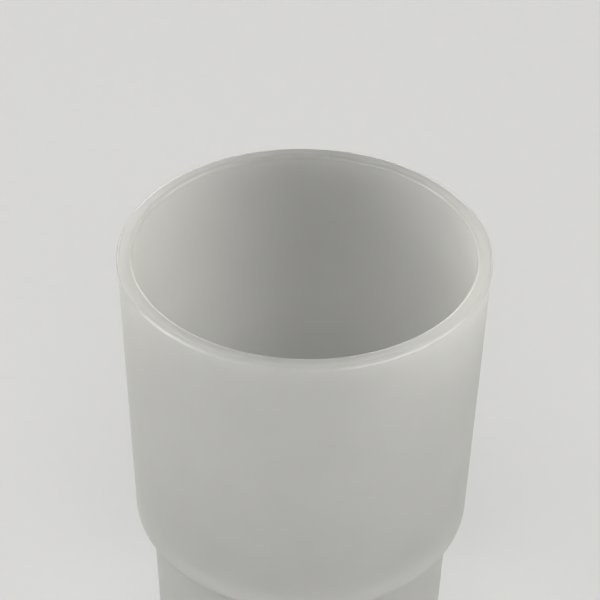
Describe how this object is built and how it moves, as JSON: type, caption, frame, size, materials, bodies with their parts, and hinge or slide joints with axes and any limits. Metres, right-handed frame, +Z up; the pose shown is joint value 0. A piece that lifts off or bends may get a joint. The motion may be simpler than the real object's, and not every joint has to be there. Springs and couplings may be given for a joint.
{
  "type": "wall-mounted toothbrush holder",
  "caption": "Frosted glass tumbler with a stepped foot, standing in a low chromed ring that an arm carries from a round wall flange.",
  "frame": {"origin": "centre of the wall plate's back face, on the wall's surface and on the axis of the arm", "axes": "+Z up along the tumbler's axis direction, +Y into the wall, -Y out into the room, +X to the right seen from the room"},
  "size_m": [0.068, 0.136, 0.1347],
  "materials": {
    "frosted_glass": "etched, milky, matt",
    "chrome": "polished plate",
    "zinced_steel": "bright zinc plate",
    "soft_silicone": "matt, slightly clear",
    "grey_nylon": "moulded, matt"
  },
  "bodies": {
    "holder": {"wall_plate": "zinced_steel", "wall_flange": "chrome", "support_arm": "chrome", "holder_ring": "chrome", "tumbler_seat": "soft_silicone", "arm_washer": "zinced_steel", "arm_screw": "zinced_steel", "ring_screw": "zinced_steel", "grub_screw": "zinced_steel", "wall_screw_left": "zinced_steel", "wall_screw_right": "zinced_steel", "wall_plug_left": "grey_nylon", "wall_plug_right": "grey_nylon"},
    "tumbler": {"tumbler": "frosted_glass"}
  },
  "joints": [
    {"name": "tumbler_lift", "type": "slide", "parent": "holder", "child": "tumbler", "axis": [0, 0, 1], "range_m": [0, 0.06]}
  ]
}
